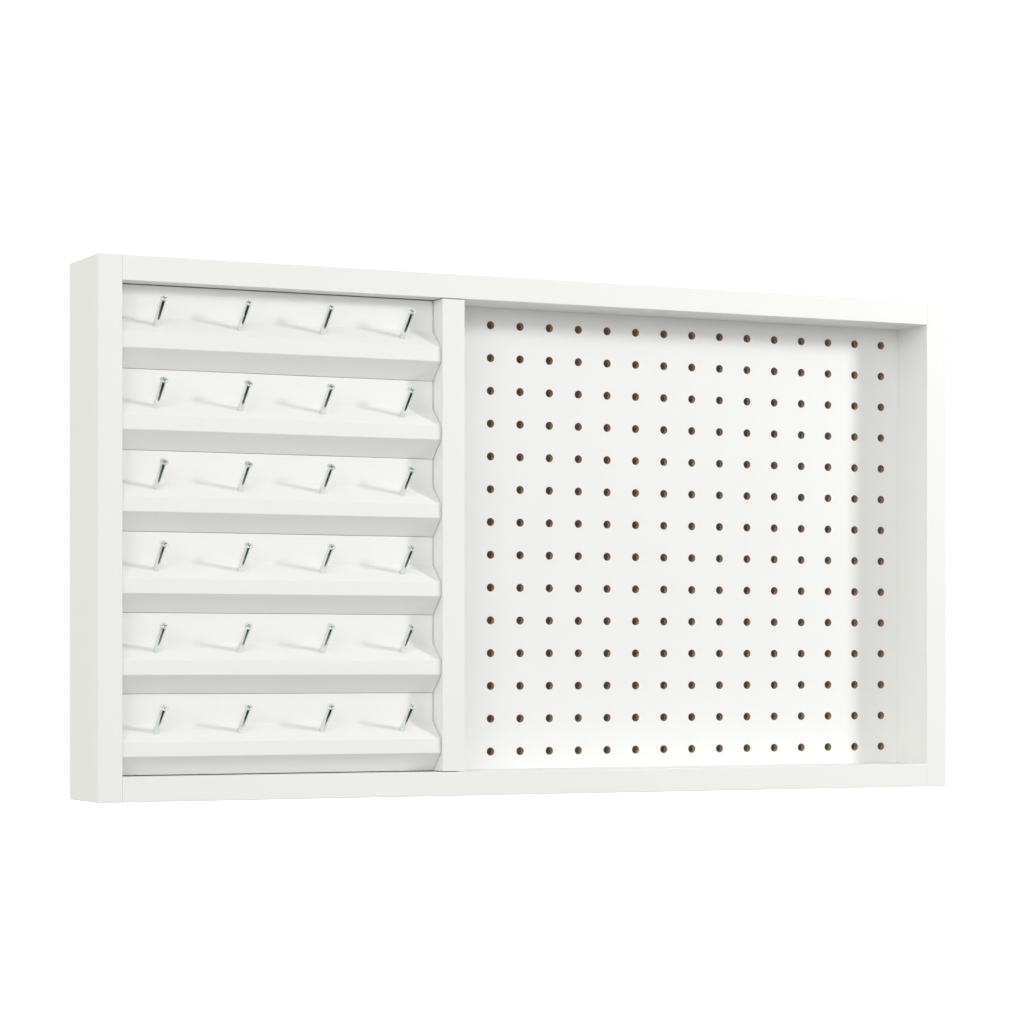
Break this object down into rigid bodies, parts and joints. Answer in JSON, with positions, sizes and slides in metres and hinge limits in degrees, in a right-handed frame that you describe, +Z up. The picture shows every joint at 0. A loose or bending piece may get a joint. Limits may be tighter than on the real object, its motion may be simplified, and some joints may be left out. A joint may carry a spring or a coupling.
{
  "type": "slatwall panel",
  "caption": "Framed wall panel with angled slats carrying metal spool pegs beside a deep-set pegboard bay.",
  "frame": {"origin": "middle of the top board's back edge, on the wall plane", "axes": "+X to the right seen from the front, +Y back into the wall, +Z up"},
  "size_m": [0.7214, 0.0768, 0.394],
  "materials": {
    "frame_foil": "satin white foil on fibreboard",
    "slat_paint": "satin white paint on fibreboard",
    "pegboard_coating": "white coated face on brown hardboard",
    "back_hardboard": "bare brown hardboard",
    "batten_wood": "bare softwood",
    "dowel_wood": "bare hardwood",
    "peg_zinc": "bright zinc plate",
    "screw_zinc": "zinc plate",
    "hanger_steel": "zinc plated sheet"
  },
  "bodies": {
    "root": {"left_end": "frame_foil", "right_end": "frame_foil", "top_board": "frame_foil", "bottom_board": "frame_foil", "divider": "frame_foil", "corner_dowels": "dowel_wood", "divider_dowels": "dowel_wood", "pegboard": "pegboard_coating", "slat_back_panel": "back_hardboard", "slat_1": "slat_paint", "slat_2": "slat_paint", "slat_3": "slat_paint", "slat_4": "slat_paint", "slat_5": "slat_paint", "slat_6": "slat_paint", "spool_pegs_1": "peg_zinc", "spool_pegs_2": "peg_zinc", "spool_pegs_3": "peg_zinc", "spool_pegs_4": "peg_zinc", "spool_pegs_5": "peg_zinc", "spool_pegs_6": "peg_zinc", "slat_batten_left": "batten_wood", "slat_batten_right": "batten_wood", "slat_screws": "screw_zinc", "keyhole_hangers": "hanger_steel", "hanger_screws": "screw_zinc"}
  },
  "joints": []
}
